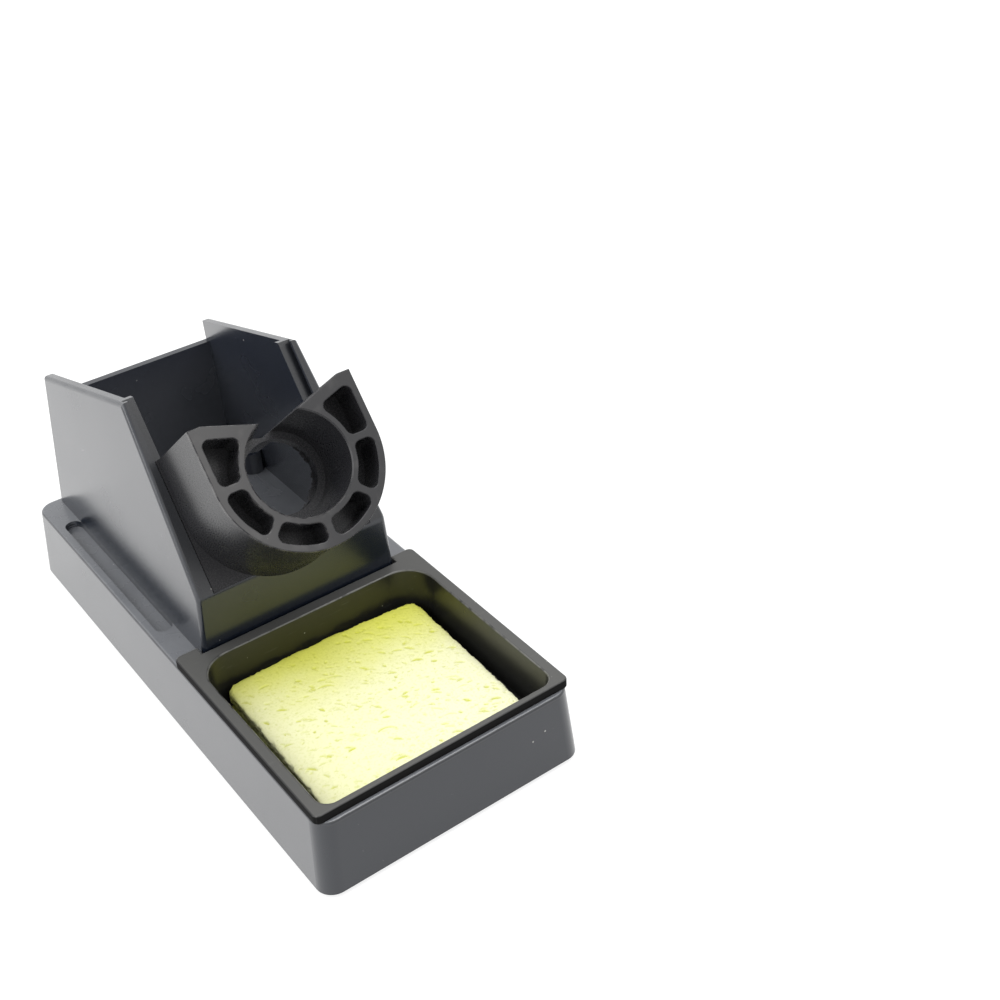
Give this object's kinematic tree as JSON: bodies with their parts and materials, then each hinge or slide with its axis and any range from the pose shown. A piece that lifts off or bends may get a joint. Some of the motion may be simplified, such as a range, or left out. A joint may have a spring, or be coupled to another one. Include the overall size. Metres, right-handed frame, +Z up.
{
  "type": "soldering iron station",
  "caption": "Soldering iron stand: long shelled base, open hopper, sloped sliding receptacle with a tapered bore for the iron, and a drop-in tray with a wiping sponge.",
  "frame": {"origin": "on the bench under the middle of the base", "axes": "+Z up, front with the sponge tray towards -Y, +X to the right seen from the front"},
  "size_m": [0.082, 0.178, 0.0953],
  "materials": {
    "base_plastic": "satin charcoal moulding",
    "receptacle_plastic": "grainy black heat-resisting moulding",
    "tray_plastic": "slightly glossy black moulding",
    "sponge_cellulose": "pale yellow-green open-cell cellulose",
    "foot_rubber": "matt",
    "screw_steel": "zinc plated"
  },
  "bodies": {
    "base": {"base_shell": "base_plastic", "tower_shell": "base_plastic", "tower_screws": "screw_steel", "foot_front_left": "foot_rubber", "foot_front_right": "foot_rubber", "foot_rear_left": "foot_rubber", "foot_rear_right": "foot_rubber"},
    "receptacle": {"iron_receptacle": "receptacle_plastic", "bore_liner": "receptacle_plastic"},
    "tray": {"sponge_tray": "tray_plastic"},
    "sponge": {"sponge": "sponge_cellulose"}
  },
  "joints": [
    {"name": "receptacle_slide", "type": "slide", "parent": "base", "child": "receptacle", "axis": [0, 0.6088, 0.7934], "range_m": [0, 0.04]},
    {"name": "tray_lift", "type": "slide", "parent": "base", "child": "tray", "axis": [0, 0, 1], "range_m": [0, 0.012]},
    {"name": "sponge_lift", "type": "slide", "parent": "tray", "child": "sponge", "axis": [0, 0, 1], "range_m": [0, 0.012]}
  ]
}
